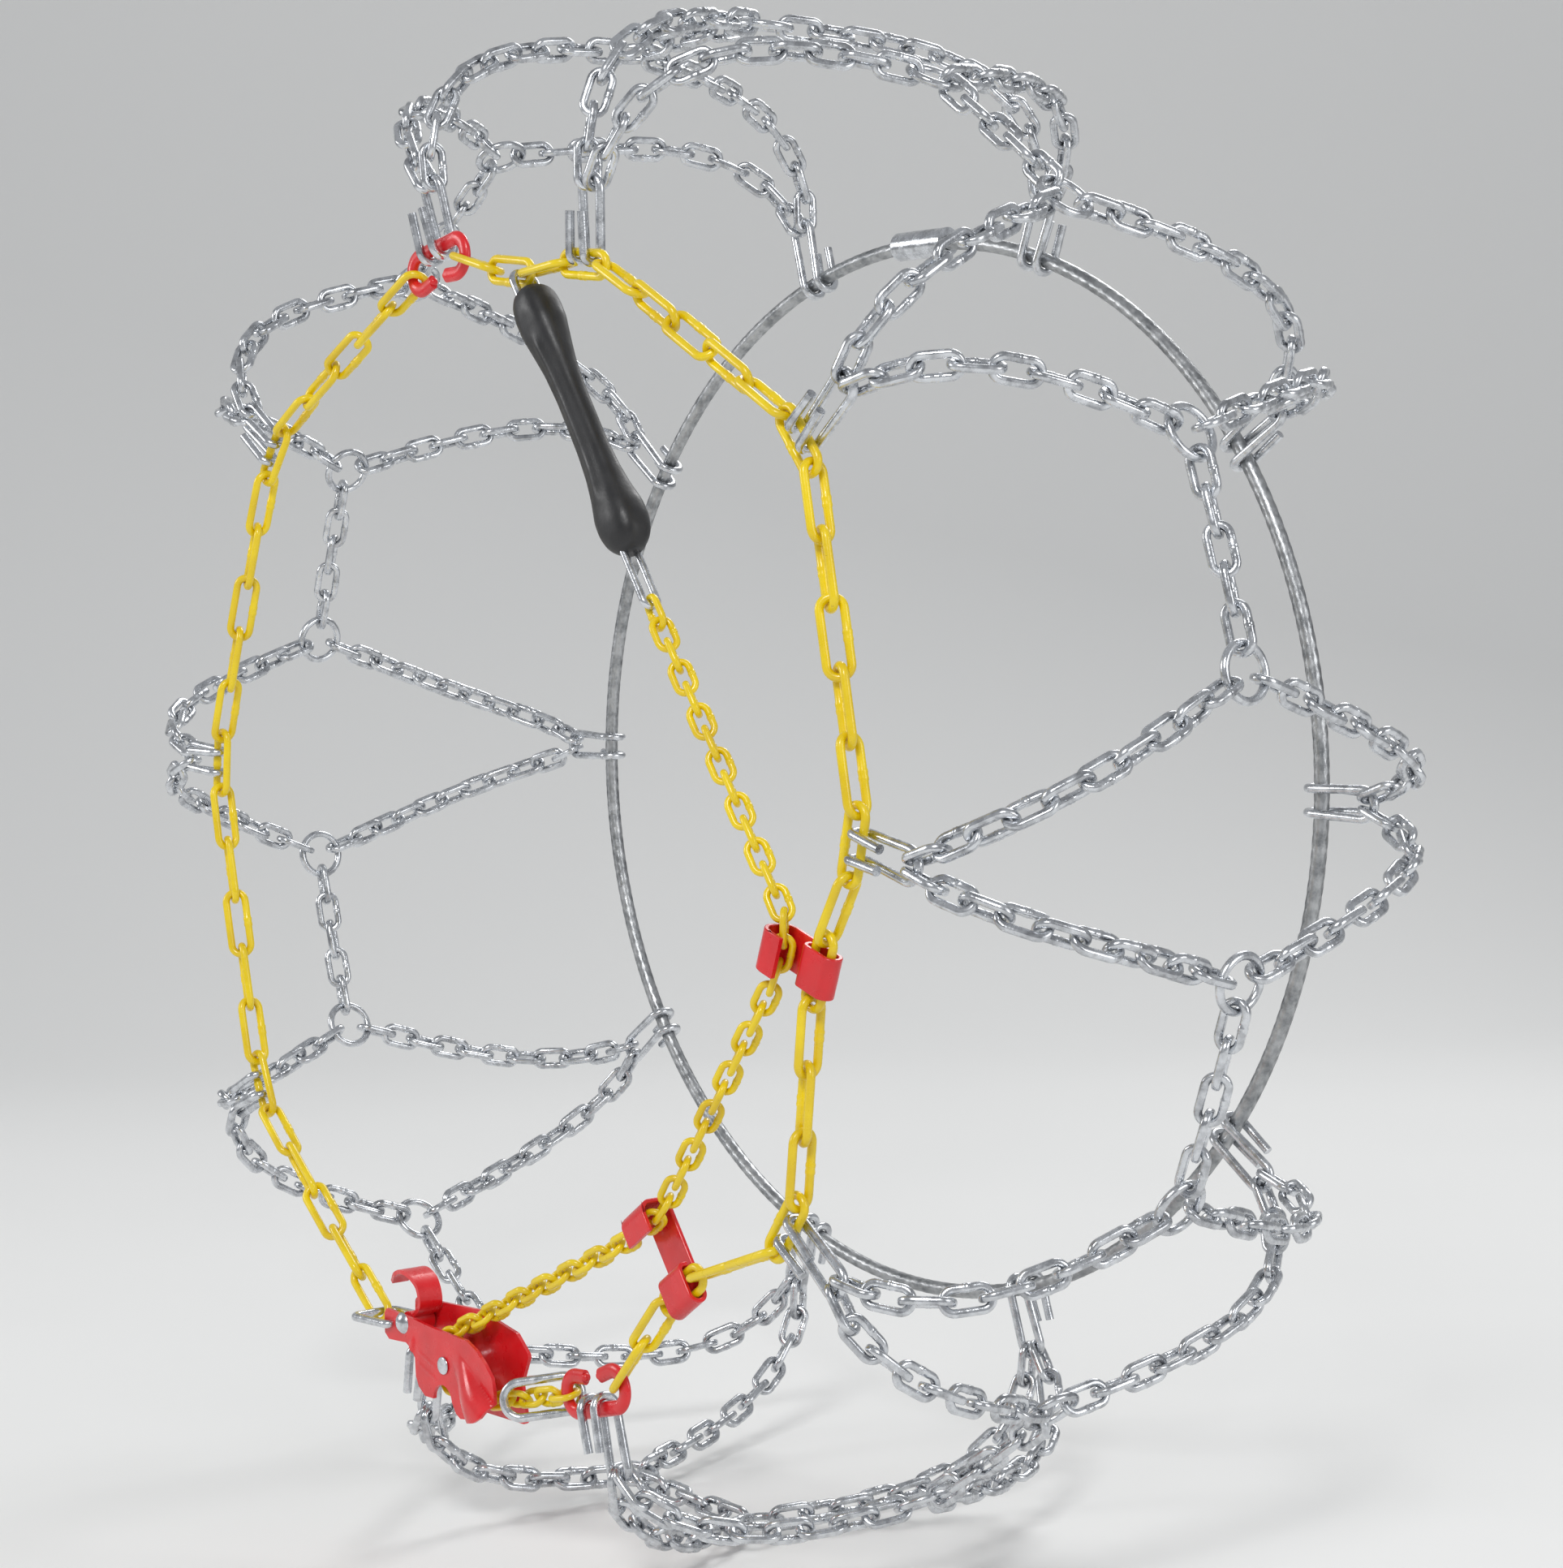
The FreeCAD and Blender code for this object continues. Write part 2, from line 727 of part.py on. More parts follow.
hooked = mix(right_joints[1], right_joints[2], 0.5)
hook_way = unit(right_joints[2] - right_joints[1])
hook_in = unit(hook_way.cross(FRONT))
if hook_in.dot(outward(hooked)) > 0:
    hook_in = hook_in * -1.0
bar_low = hooked + hook_way * 8.6 + hook_in * BAR_OUT
strap_eye = spot(142.0, 89.0, -149.0)
strap_way = unit(strap_eye - bar_low)
crown = bar_low - hook_in * (SIDE_LINK[0] / 2.0 + STAPLE_WIRE / 2.0 + LINK_GAP)
strap_front = unit(FRONT - strap_way * FRONT.dot(strap_way))


def staple(tip, way, wire, bend, reach):
    """U of wire: its crown at tip and its two legs running along way, one behind the other."""
    a = strap_front * bend
    points = [tip + way * reach + a, tip + a, tip - a, tip + way * reach - a]
    return wire_along(points, bend - 0.1, wire)


top_staple = staple(crown, strap_way, STAPLE_WIRE, 6.3, STRAP_START + STAPLE_SINK)
eye_gap = (strap_eye - crown).Length - STRAP_START - STRAP_LENGTH
low_staple = staple(strap_eye, strap_way * -1.0, EYE_WIRE_LOW, 4.0, eye_gap + STAPLE_SINK)
STRAP_SECTIONS = (          # run from the top, width across, thickness
    (0.0, 18.0, 17.4), (4.0, 23.0, 20.0), (14.0, 25.0, 21.0), (32.0, 22.0, 17.0), (62.0, 17.5, 12.0),
    (94.0, 18.0, 12.0), (122.0, 22.0, 17.0), (140.0, 26.5, 22.0), (151.0, 22.0, 19.0), (156.0, 12.0, 11.0))
across_strap = unit(strap_way.cross(strap_front))
rings_of_strap = []
for run, wide, thick in STRAP_SECTIONS:
    oval = Part.Wire(Part.Ellipse(Vector(0, 0, 0), wide / 2.0, thick / 2.0).toShape())
    rings_of_strap.append(place(oval, crown + strap_way * (STRAP_START + run), across_strap, strap_front))
strap = Part.makeLoft(rings_of_strap, True, False)
strap = strap.cut(top_staple).cut(low_staple)
keep("strap_rubber", [strap])
keep("strap_top_staple", [top_staple])
keep("strap_low_staple", [low_staple])

# -- pulling chain: strap, two guides, round the post in the tensioner, out to the low hook --
POST = spot(-36.0, -298.2, -150.0)
PULL_BEND = 15.4
TAIL_START = spot(-8.0, -313.7, -150.0)
TAIL_BAR = low_hook.bar(-1, TAIL_START)
turn_x = POST.x - PULL_BEND
pull_points = [
    strap_eye,
    channels[0],
    channels[1],
    channels[2],
    channels[3],
    spot(turn_x, -287.8, -150.0),
    spot(turn_x, -313.7, -150.0),
    TAIL_START,
    TAIL_BAR]
pull_path = rounded_path(pull_points, [14.0, 14.0, 14.0, 14.0, PULL_BEND, PULL_BEND, 60.0])
pull_curve = pull_path.discretize(Distance=0.6)
pull_links = links_on_curve(pull_curve, PULL_LINK, PULL_SHAPE, behind_wire(EYE_WIRE_LOW),
                            behind_wire(CLAW_WIDTH), (-35.0, 30.0), lambda p: FRONT, spare=1)
inside = [k for k, s in enumerate(pull_links) if s.BoundBox.Center.x < -10.0]
keep("pulling_chain", pull_links[:inside[-1] + 1])
keep("tail_chain", pull_links[inside[-1] + 1:])

# -- loose oval ring threaded on the tail --
tail_way = unit(TAIL_BAR - TAIL_START)
ring_spot = mix(TAIL_START, TAIL_BAR, 0.68)
lean = math.radians(38.0)
ring_long = tail_way * -math.cos(lean) + FRONT * math.sin(lean)
oval = place(link_shape((4.6, 36.0, 22.4)), ring_spot, ring_long, tail_way.cross(FRONT))
keep("oval_ring", [oval])

# -- tensioner housing --
BACK_FACE = -142.0
FRONT_FACE = -158.5
RIVET = (-75.0, -282.0)
BAIL = (-86.0, -284.0)


def plate(corners, bend, y, thick, holes):
    points = [spot(x, z, y) for x, z in corners]
    face = Part.Face(rounded_path(points, bend, True))
    solid = face.extrude(FRONT * thick)
    for x, z, r in holes:
        solid = solid.cut(Part.makeCylinder(r, 3.0 * thick, spot(x, z, y + thick), FRONT))
    return solid


HOLES = [(RIVET[0], RIVET[1], 3.05), (BAIL[0], BAIL[1], 2.3), (POST.x, POST.z, 3.05)]
front_outline = [
    (-91.0, -276.0), (-92.0, -291.0), (-68.0, -293.0), (-62.0, -312.0), (-42.0, -322.0),
    (-24.0, -320.0), (2.0, -322.0), (11.0, -312.0), (6.0, -296.0), (-14.0, -282.0), (-48.0, -280.0)]
back_outline = [
    (-91.0, -273.0), (-92.0, -291.0), (-68.0, -294.0), (-62.0, -313.0), (-40.0, -324.0),
    (12.0, -324.0), (8.0, -303.0), (15.0, -288.0), (4.0, -278.0), (-30.0, -271.0)]
front_plate = plate(front_outline, 3.0, FRONT_FACE, PLATE, HOLES)
back_plate = plate(back_outline, 3.0, BACK_FACE + PLATE, PLATE, HOLES)
keep("tensioner_front_plate", [front_plate])
keep("tensioner_back_plate", [back_plate])


def rod(x, z, radius, y_back, y_front):
    return Part.makeCylinder(radius, y_back - y_front, spot(x, z, y_back), FRONT)


outer_face = FRONT_FACE - PLATE
behind = BACK_FACE + PLATE
rivet = rod(RIVET[0], RIVET[1], 3.0, behind + 1.5, outer_face - 1.0)
rivet = rivet.fuse(rod(RIVET[0], RIVET[1], 5.2, behind + 1.5, behind))
dome = Part.makeSphere(7.0, spot(RIVET[0], RIVET[1], outer_face + 4.0))
dome = dome.common(rod(RIVET[0], RIVET[1], 8.0, outer_face, outer_face - 6.0))
keep("tensioner_rivet", [rivet.fuse(dome)])
post = rod(POST.x, POST.z, 8.0, BACK_FACE - 0.1, FRONT_FACE + 0.1)
post = post.fuse(rod(POST.x, POST.z, 3.0, behind + 1.2, outer_face - 1.2))
post = post.fuse(rod(POST.x, POST.z, 4.6, outer_face, outer_face - 1.2))
post = post.fuse(rod(POST.x, POST.z, 4.6, behind + 1.2, behind))
keep("tensioner_post", [post])

bail_front = outer_face - 2.8
bail_back = behind + 2.8
bail_points = [
    spot(BAIL[0], BAIL[1], FRONT_FACE + 0.2),
    spot(BAIL[0], BAIL[1], bail_front),
    spot(EYE_TIP.x, EYE_TIP.z, bail_front),
    spot(EYE_TIP.x, EYE_TIP.z, bail_back),
    spot(BAIL[0], BAIL[1], bail_back),
    spot(BAIL[0], BAIL[1], BACK_FACE - 0.2)]
keep("tensioner_wire_eye", [wire_along(bail_points, [2.6, 5.0, 5.0, 2.6], EYE_WIRE)])

lever_points = [spot(x, z, -150.0) for x, z in (
    (-71.0, -279.5), (-63.0, -277.0), (-58.0, -257.0), (-78.0, -252.0), (-92.0, -262.0))]
lever = strip_along(lever_points, [4.0, 7.0, 9.0], STRIP, 13.0, FRONT)
hub = rod(RIVET[0], RIVET[1], 5.6, -143.5, -156.5)
lever = lever.fuse(hub).cut(rod(RIVET[0], RIVET[1], 3.06, -140.0, -160.0))
keep("tensioner_lever", [lever])

os.makedirs("parts", exist_ok=True)
for name, shape in parts.items():
    shape.exportStep("parts/%s.step" % name)
    print(name, len(shape.Solids), round(shape.Volume))
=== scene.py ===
import json
import math

import bmesh
import bpy
import numpy as np
from mathutils import Matrix, Vector
from mathutils.geometry import delaunay_2d_cdt


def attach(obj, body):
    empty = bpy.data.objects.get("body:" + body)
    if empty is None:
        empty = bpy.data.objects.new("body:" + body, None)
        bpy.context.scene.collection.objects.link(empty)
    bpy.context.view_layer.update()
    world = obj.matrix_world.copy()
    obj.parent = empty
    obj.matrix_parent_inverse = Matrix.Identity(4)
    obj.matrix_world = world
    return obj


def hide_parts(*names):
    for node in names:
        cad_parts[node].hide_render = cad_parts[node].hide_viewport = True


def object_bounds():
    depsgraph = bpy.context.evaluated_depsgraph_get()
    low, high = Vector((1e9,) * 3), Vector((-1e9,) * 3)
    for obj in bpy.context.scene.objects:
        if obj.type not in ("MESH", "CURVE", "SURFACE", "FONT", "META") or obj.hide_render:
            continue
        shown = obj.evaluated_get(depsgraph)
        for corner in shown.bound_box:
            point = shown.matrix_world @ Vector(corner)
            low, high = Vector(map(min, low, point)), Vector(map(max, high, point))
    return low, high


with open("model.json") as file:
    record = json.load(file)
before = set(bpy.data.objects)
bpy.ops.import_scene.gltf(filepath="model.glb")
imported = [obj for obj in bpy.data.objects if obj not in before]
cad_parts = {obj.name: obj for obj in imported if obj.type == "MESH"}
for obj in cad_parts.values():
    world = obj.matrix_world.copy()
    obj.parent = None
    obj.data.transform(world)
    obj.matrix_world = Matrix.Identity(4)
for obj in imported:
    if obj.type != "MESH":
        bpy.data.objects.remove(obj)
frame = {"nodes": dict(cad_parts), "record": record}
cad_low, cad_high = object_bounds()

# Metres.  Wire diameter, inner length and outer width of each kind of link.
CROSS_LINK = (0.0040, 0.0187, 0.0146)
SIDE_LINK = (0.0042, 0.0320, 0.0154)
PULL_LINK = (0.0034, 0.0130, 0.0124)
YELLOW_LINKS = {
    "side_chain_right": SIDE_LINK,
    "side_chain_left": SIDE_LINK,
    "pulling_chain": PULL_LINK,
    "tail_chain": PULL_LINK}
ROUND_WIRE = 2.0            # section power: 2 is round, more is squarer
SQUARE_WIRE = 2.8

FRONT_FACE = -0.1605        # outer face of the tensioner's front plate
PLATE = 0.0020
RIVET = (-0.0750, -0.2820)
HUB_RADIUS = 0.0056
HUB_ENDS = (-0.1435, -0.1565)
LEVER_Y = -0.1500
LEVER_SHEET = 0.0023
STRAP_LENGTH = 0.156

CAMERA_PLACE = (1.2819, -1.0093, 0.0555)
CAMERA_YAW = 0.883
CAMERA_PITCH = -0.036
CAMERA_ROLL = -0.020
CAMERA_LENS = 69.6

record = frame["record"]
slot_of = {row["node"]: row["material_slot"] for row in record["subparts"]}
body_of = {}
for body, nodes in record["behaviour"]["bodies"].items():
    for node in nodes:
        body_of[node] = body


# ---------------------------------------------------------------- materials

class Shader:
    """A node material with short calls for the nodes used here."""

    def __init__(self, name):
        self.material = bpy.data.materials.new(name)
        self.material.use_nodes = True
        self.tree = self.material.node_tree
        self.tree.nodes.clear()
        self.out = self.tree.nodes.new("ShaderNodeOutputMaterial")
        self.main = self.tree.nodes.new("ShaderNodeBsdfPrincipled")
        self.link(self.main.outputs[0], self.out.inputs[0])
        self.place = self.tree.nodes.new("ShaderNodeTexCoord").outputs["Object"]

    def link(self, a, b):
        self.tree.links.new(a, b)

    def noise(self, scale, detail=4.0, rough=0.5):
        node = self.tree.nodes.new("ShaderNodeTexNoise")
        node.inputs["Scale"].default_value = scale
        node.inputs["Detail"].default_value = detail
        node.inputs["Roughness"].default_value = rough
        self.link(self.place, node.inputs["Vector"])
        return node.outputs[0]

    def ramp(self, value, stops):
        node = self.tree.nodes.new("ShaderNodeValToRGB")
        ramp = node.color_ramp
        while len(ramp.elements) < len(stops):
            ramp.elements.new(0.5)
        for element, (at, color) in zip(ramp.elements, stops):
            element.position = at
            element.color = (*color, 1.0)
        self.link(value, node.inputs[0])
        return node.outputs[0]

    def grey(self, value, low, high, a=0.35, b=0.65):
        return self.ramp(value, [(a, (low, low, low)), (b, (high, high, high))])

    def bump(self, value, strength, distance):
        node = self.tree.nodes.new("ShaderNodeBump")
        node.inputs["Strength"].default_value = strength
        node.inputs["Distance"].default_value = distance
        self.link(value, node.inputs["Height"])
        self.link(node.outputs[0], self.main.inputs["Normal"])

    def set(self, name, value):
        self.main.inputs[name].default_value = value

    def wire(self, name, value):
        self.link(value, self.main.inputs[name])


def paint(name, deep, plain, worn, coat):
    """Thick dipped paint: slight colour drift, small worn flecks and a soft orange-peel."""
    s = Shader(name)
    drift = s.ramp(s.noise(45.0, 3.0), [(0.3, deep), (0.62, plain), (0.985, plain), (1.0, worn)])
    flecks = s.grey(s.noise(620.0, 5.0, 0.6), 0.0, 1.0, 0.70, 0.74)
    mix = s.tree.nodes.new("ShaderNodeMix")
    mix.data_type = "RGBA"
    s.link(flecks, mix.inputs["Factor"])
    s.link(drift, mix.inputs[6])
    mix.inputs[7].default_value = (*worn, 1.0)
    s.wire("Base Color", mix.outputs[2])
    s.wire("Roughness", s.grey(s.noise(160.0), 0.24, 0.42))
    s.set("Coat Weight", coat)
    s.set("Coat Roughness", 0.12)
    s.bump(s.noise(420.0, 2.0), 0.16, 0.0006)
    return s.material


def zinc(name, dark, light, low, high):
    """Bright plated steel with cloudy patches and faint drawing marks."""
    s = Shader(name)
    s.wire("Base Color", s.ramp(s.noise(130.0, 5.0, 0.62), [(0.30, dark), (0.58, light)]))
    s.wire("Roughness", s.grey(s.noise(240.0, 4.0), low, high))
    s.set("Metallic", 1.0)
    s.bump(s.noise(700.0, 4.0), 0.22, 0.0004)
    return s.material


def rubber(name):
    """Moulded rubber, dull and finely grained."""
    s = Shader(name)
    shades = [(0.3, (0.010, 0.010, 0.011)), (0.7, (0.024, 0.024, 0.026))]
    s.wire("Base Color", s.ramp(s.noise(60.0, 5.0), shades))
    s.wire("Roughness", s.grey(s.noise(90.0, 4.0), 0.36, 0.56))
    s.bump(s.noise(900.0, 3.0), 0.14, 0.0005)
    return s.material


looks = {
    "yellow_paint": paint(
        "yellow_paint",
        deep=(0.72, 0.50, 0.001), plain=(0.86, 0.64, 0.002), worn=(0.45, 0.27, 0.01), coat=0.35),
    "red_paint": paint(
        "red_paint",
        deep=(0.60, 0.006, 0.010), plain=(0.74, 0.010, 0.016), worn=(0.36, 0.02, 0.02), coat=0.40),
    "zinc_steel": zinc(
        "zinc_steel", dark=(0.34, 0.35, 0.37), light=(0.70, 0.72, 0.75), low=0.14, high=0.32),
    "cable_steel": zinc(
        "cable_steel", dark=(0.22, 0.23, 0.24), light=(0.48, 0.49, 0.50), low=0.30, high=0.48),
    "black_rubber": rubber("black_rubber")}


# ---------------------------------------------------------------- reading the frame

def node_mesh(node):
    """Welded points and triangles of a CAD node."""
    obj = frame["nodes"][node]
    mesh = obj.data
    points = np.empty(len(mesh.vertices) * 3)
    mesh.vertices.foreach_get("co", points)
    points = points.reshape(-1, 3)
    turn = np.array(obj.matrix_world)
    points = points @ turn[:3, :3].T + turn[:3, 3]
    mesh.calc_loop_triangles()
    tris = np.empty(len(mesh.loop_triangles) * 3, dtype=np.int64)
    mesh.loop_triangles.foreach_get("vertices", tris)
    keys, first, which = np.unique(np.round(points, 6), axis=0, return_index=True, return_inverse=True)
    return points[first], which.reshape(-1)[tris].reshape(-1, 3)


def solids_of(node):
    """The points of each separate solid in a node."""
    points, tris = node_mesh(node)
    label = np.arange(len(points))
    while True:
        low = label[tris].min(axis=1)
        before = label.copy()
        for k in range(3):
            np.minimum.at(label, tris[:, k], low)
        label = label[label]
        if np.array_equal(label, before):
            break
    return [points[label == one] for one in np.unique(label)]


def frame_of(points):
    """Middle and long, wide and thin directions of a solid."""
    middle = points.mean(axis=0)
    values, axes = np.linalg.eigh(np.cov((points - middle).T))
    axes = axes[:, ::-1].T
    if np.dot(np.cross(axes[0], axes[1]), axes[2]) < 0:
        axes[2] = -axes[2]
    local = (points - middle) @ axes.T
    half = (local.max(axis=0) + local.min(axis=0)) / 2.0
    return middle + half @ axes, axes, local.max(axis=0) - local.min(axis=0)


# ---------------------------------------------------------------- shapes

def hand_over(name, mesh, node=None):
    """Puts a mesh in the scene; with a CAD node it takes that node's place."""
    mesh.shade_smooth()
    obj = bpy.data.objects.new(name, mesh)
    bpy.context.scene.collection.objects.link(obj)
    if node:
        slot = slot_of[node]
        mesh.materials.append(looks[slot])
        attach(obj, body_of[node])
        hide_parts(node)
    return obj


def make_object(name, points, faces, node=None):
    """An object from many faces that all have the same number of corners."""
    mesh = bpy.data.meshes.new(name)
    faces = np.asarray(faces)
    size = faces.shape[1]
    mesh.vertices.add(len(points))
    mesh.vertices.foreach_set("co", np.asarray(points, dtype=np.float32).ravel())
    mesh.loops.add(faces.size)
    mesh.loops.foreach_set("vertex_index", faces.astype(np.int32).ravel())
    mesh.polygons.add(len(faces))
    mesh.polygons.foreach_set("loop_start", np.arange(0, faces.size, size, dtype=np.int32))
    mesh.update(calc_edges=True)
    mesh.validate()
    return hand_over(name, mesh, node)


def make_shell(node, points, faces):
    """The look of a CAD node from faces of any size, all turned outwards."""
    mesh = bpy.data.meshes.new(node + "_look")
    mesh.from_pydata(points, [], faces)
    bm = bmesh.new()
    bm.from_mesh(mesh)
    bmesh.ops.recalc_face_normals(bm, faces=bm.faces)
    bm.to_mesh(mesh)
    bm.free()
    return hand_over(node + "_look", mesh, node)


def finish_edges(obj, angle, width=0.0, segments=2):
    """Keeps edges sharper than an angle crisp, and rounds them if a width is given."""
    if width:
        bev = obj.modifiers.new("edge", "BEVEL")
        bev.width = width
        bev.segments = segments
        bev.limit_method = "ANGLE"
        bev.angle_limit = math.radians(angle)
    obj.data.set_sharp_from_angle(angle=math.radians(angle))


def tube_faces(rings, sides, closed):
    """Four-cornered faces between rings of points that follow each other."""
    faces = []
    for i in range(rings if closed else rings - 1):
        j = (i + 1) % rings
        for k in range(sides):
            m = (k + 1) % sides
            faces.append((i * sides + k, j * sides + k, j * sides + m, i * sides + m))
    return faces


def squareness(angle, power):
    """Distance from the middle of a rounded square to its edge; power 2 is a circle."""
    return (abs(math.cos(angle)) ** power + abs(math.sin(angle)) ** power) ** (-1.0 / power)


def smooth_step(value):
    value = min(1.0, max(0.0, value))
    return value * value * (3.0 - 2.0 * value)


def link_points(size, square, bead):
    """Points and faces of one welded link: long way X, wide way Y, the weld on one side."""
    wire, inner, width = size
    r = (width - wire) / 2.0
    a = (inner + 2.0 * wire - width) / 2.0
    rows = []
    for t in (-1.0, -0.6, -0.24, -0.17, -0.10, -0.03, 0.03, 0.10, 0.17, 0.24, 0.6):
        swell = 0.0
        if abs(t) < 0.2:
            swell = bead if abs(t) > 0.05 else 0.55 * bead
        rows.append(((a * t, -r), (0.0, -1.0), 1.0 + swell))
    for end, start in ((a, -math.pi / 2.0), (-a, math.pi / 2.0)):
        for k in range(15 if end > 0.0 else 14):
            turn = start + math.pi * k / 14.0
            out = (math.cos(turn), math.sin(turn))
            rows.append(((end + out[0] * r, out[1] * r), out, 1.0 - 0.03 * abs(out[0])))
        if end > 0.0:
            rows.append(((0.0, r), (0.0, 1.0), 1.0))
    sides = 16
    points = []
    for place, out, grow in rows:
        for k in range(sides):
            angle = 2.0 * math.pi * k / sides
            reach = wire / 2.0 * grow * squareness(angle, square)
            side = reach * math.cos(angle)
            points.append((place[0] + out[0] * side, place[1] + out[1] * side, reach * math.sin(angle)))
    return np.array(points), np.array(tube_faces(len(rows), sides, True))


def build_links(node, size, square, bead):
    """Puts a detailed link where each plain one stands in the CAD node."""
    points, faces = link_points(size, square, bead)
    all_points = []
    all_faces = []
    for n, solid in enumerate(solids_of(node)):
        middle, axes, _ = frame_of(solid)
        if axes[1][1] > 0:
            axes[0] = -axes[0]
            axes[1] = -axes[1]
        all_faces.append(faces + n * len(points))
        all_points.append(points @ axes + middle)
    make_object(node + "_look", np.concatenate(all_points), np.concatenate(all_faces), node)


def copy_node(node, round_edge=0.0):
    """A smooth copy of a CAD node with its sharp edges rounded."""
    points, tris = node_mesh(node)
    finish_edges(make_object(node + "_look", points, tris, node), 35.0, round_edge)


# ---------------------------------------------------------------- pressed sheet pieces

def inside_mesh(outline, step):
    """Points and triangles that fill a closed outline of (x, z) places."""
    edge = []
    for (ax, az), (bx, bz) in zip(outline, outline[1:] + outline[:1]):
        count = max(1, int(round(math.hypot(bx - ax, bz - az) / step)))
        for k in range(count):
            t = k / count
            edge.append(Vector((ax + (bx - ax) * t, az + (bz - az) * t)))
    low_x = min(p.x for p in edge)
    high_x = max(p.x for p in edge)
    low_z = min(p.y for p in edge)
    high_z = max(p.y for p in edge)
    spots = list(edge)
    for i in range(int((high_x - low_x) / step)):
        for j in range(int((high_z - low_z) / step)):
            p = Vector((low_x + (i + 0.5 * (j % 2) + 0.3) * step, low_z + (j + 0.4) * step))
            if min((p - q).length for q in edge) > 0.55 * step:
                spots.append(p)
    rim = [(k, (k + 1) % len(edge)) for k in range(len(edge))]
    flat, _, faces, _, _, _ = delaunay_2d_cdt(spots, rim, [], 1, 1e-7)
    return flat, faces


def pressed_plate():
    """Front plate of the tensioner, cut to its outline and pressed outwards."""
    flat, tris = inside_mesh(front_outline(), 0.0011)
    count = len(flat)
    outer = [(p.x, FRONT_FACE - pressed_height(p.x, p.y), p.y) for p in flat]
    inner = [(x, y + PLATE, z) for x, y, z in outer]
    faces = []
    sides = set()
    for a, b, c in tris:
        faces.append((a, b, c))
        faces.append((c + count, b + count, a + count))
        sides.update(((a, b), (b, c), (c, a)))
    for one, two in sorted(sides):
        if (two, one) not in sides:
            faces.append((two, one, one + count, two + count))
    finish_edges(make_shell("tensioner_front_plate", outer + inner, faces), 50.0, 0.0005)


def arc_points(x, z, radius, start, end, count):
    """Places along an arc, in degrees from +X towards +Z."""
    result = []
    for k in range(count + 1):
        a = math.radians(start + (end - start) * k / count)
        result.append((x + radius * math.cos(a), z + radius * math.sin(a)))
    return result


def pressed_height(x, z):
    """How far the plate stands out: a cone over the leaving chain, a raised slot, two creases."""
    top_x, top_z, low_x, low_z = -0.0270, -0.2900, -0.0030, -0.3160
    long = math.hypot(low_x - top_x, low_z - top_z)
    way_x = (low_x - top_x) / long
    way_z = (low_z - top_z) / long
    run = ((x - top_x) * way_x + (z - top_z) * way_z) / long
    run = min(1.15, max(0.0, run))
    off = abs((x - top_x) * way_z - (z - top_z) * way_x)
    half = 0.0035 + 0.0078 * run
    cone = 0.0
    if off < half:
        cone = 0.0072 * smooth_step(run * 1.05) * math.sqrt(1.0 - (off / half) ** 2)

    slot_x = x + 0.0660
    slot_z = z + 0.2925
    slot_long = (slot_x * 0.35 + slot_z * 0.937) / 0.0042
    slot_wide = (slot_x * 0.937 - slot_z * 0.35) / 0.0019
    slot = 0.0009 * smooth_step(1.6 - slot_long ** 2 - slot_wide ** 2)

    creases = 0.0
    reach = abs(x + 0.052) * 0.94
    for step in (0.0, 0.0062):
        from_line = abs((x + 0.052) * 0.33 + (z + 0.2975 + step) * 0.94)
        creases += 0.0005 * smooth_step(1.0 - from_line / 0.0009) * smooth_step((0.0085 - reach) / 0.002)
    return cone + slot + creases


def front_outline():
    """Corners (x, z) of the front plate, with an arched notch in its lower edge."""
    notch = arc_points(-0.0378, -0.3175, 0.0088, 178.0, 8.0, 16)
    return [
        (-0.0905, -0.2765), (-0.0925, -0.2790), (-0.0925, -0.2895), (-0.0885, -0.2925), (-0.0800, -0.2922),
        (-0.0720, -0.2918), (-0.0670, -0.2945), (-0.0635, -0.2985), (-0.0630, -0.3080), (-0.0605, -0.3130),
        (-0.0545, -0.3172), *notch,
        (-0.0255, -0.3215), (-0.0215, -0.3235), (-0.0160, -0.3228), (-0.0080, -0.3225), (0.0010, -0.3205),
        (0.0060, -0.3175), (0.0095, -0.3120), (0.0098, -0.3050), (0.0080, -0.2975), (0.0020, -0.2915),
        (-0.0060, -0.2855), (-0.0150, -0.2818), (-0.0300, -0.2812), (-0.0480, -0.2800), (-0.0660, -0.2782)]


def smooth_path(path, widths, steps):
    """Places (x, z, width) along a smooth curve through the places of a path."""
    dense = []
    for k in range(len(path) - 1):
        p0 = path[max(0, k - 1)]
        p1 = path[k]
        p2 = path[k + 1]
        p3 = path[min(len(path) - 1, k + 2)]
        for step in range(steps):
            t = step / steps
            spot = []
            for i in range(2):
                linear = (p2[i] - p0[i]) * t
                square = (2.0 * p0[i] - 5.0 * p1[i] + 4.0 * p2[i] - p3[i]) * t * t
                cube = (3.0 * p1[i] - p0[i] - 3.0 * p2[i] + p3[i]) * t * t * t
                spot.append(0.5 * (2.0 * p1[i] + linear + square + cube))
            dense.append((*spot, widths[k] + (widths[k + 1] - widths[k]) * smooth_step(t)))
    dense.append((*path[-1], widths[-1]))
    return dense


